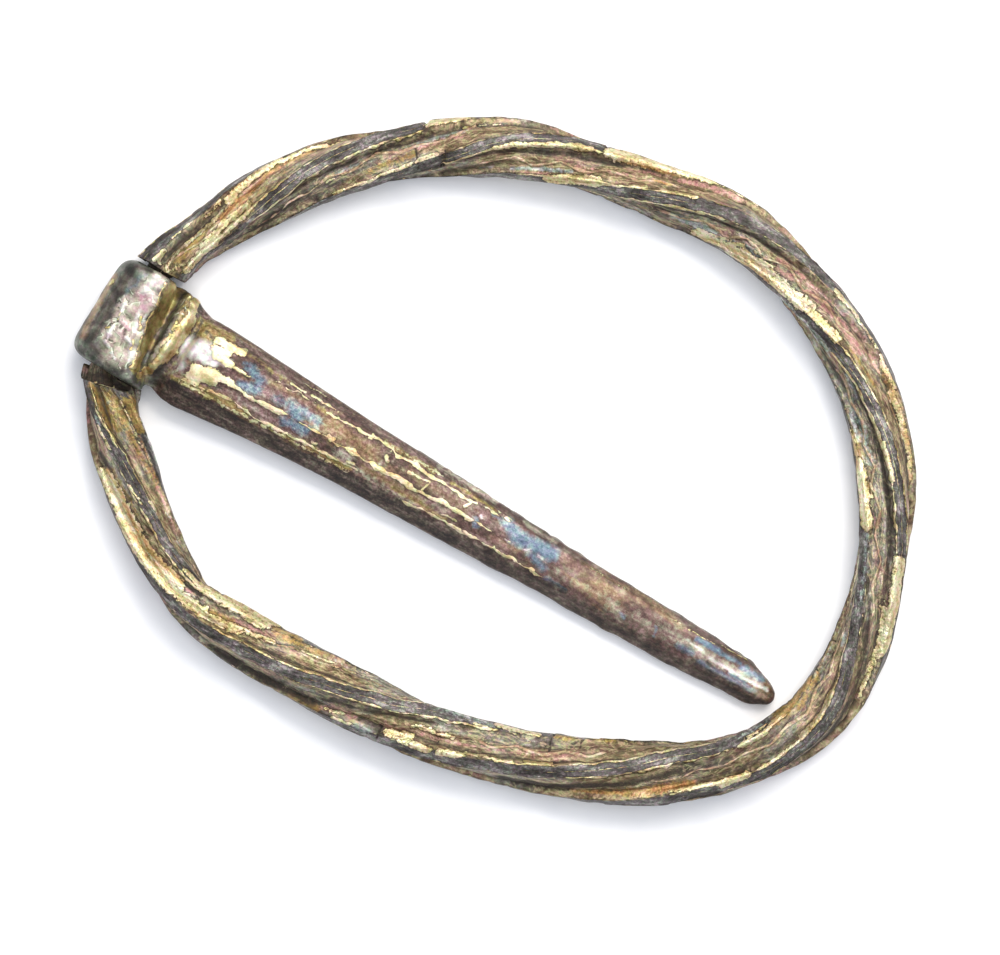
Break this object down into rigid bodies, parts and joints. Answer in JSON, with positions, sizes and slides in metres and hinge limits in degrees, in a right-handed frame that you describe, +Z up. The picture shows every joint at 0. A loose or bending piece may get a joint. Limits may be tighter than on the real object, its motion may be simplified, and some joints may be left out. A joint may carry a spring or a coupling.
{
  "type": "annular brooch",
  "caption": "Small open oval brooch: a twisted, grooved rod ring with a tapering pin hinged on a narrow bar.",
  "frame": {"origin": "middle of the underside, with the brooch lying on its back", "axes": "+X along the pin from the hinge to the point, +Y along the hinge bar, +Z up through the ring to its front"},
  "size_m": [0.0329, 0.0254, 0.0022],
  "materials": {
    "gilded_ring": "worn fire gilding left in grooves and along edges, over dark tarnished silver",
    "tarnished_pin": "tarnished silver with brown, purple and blue patches and streaks of worn gilding"
  },
  "bodies": {
    "ring": {"ring_frame": "gilded_ring"},
    "pin": {"pin": "tarnished_pin"}
  },
  "joints": [
    {"name": "pin_swing", "type": "hinge", "parent": "ring", "child": "pin", "pos_m": [-0.01493, -0.00327, 0.00112], "axis": [0, -1, 0], "continuous": true}
  ]
}
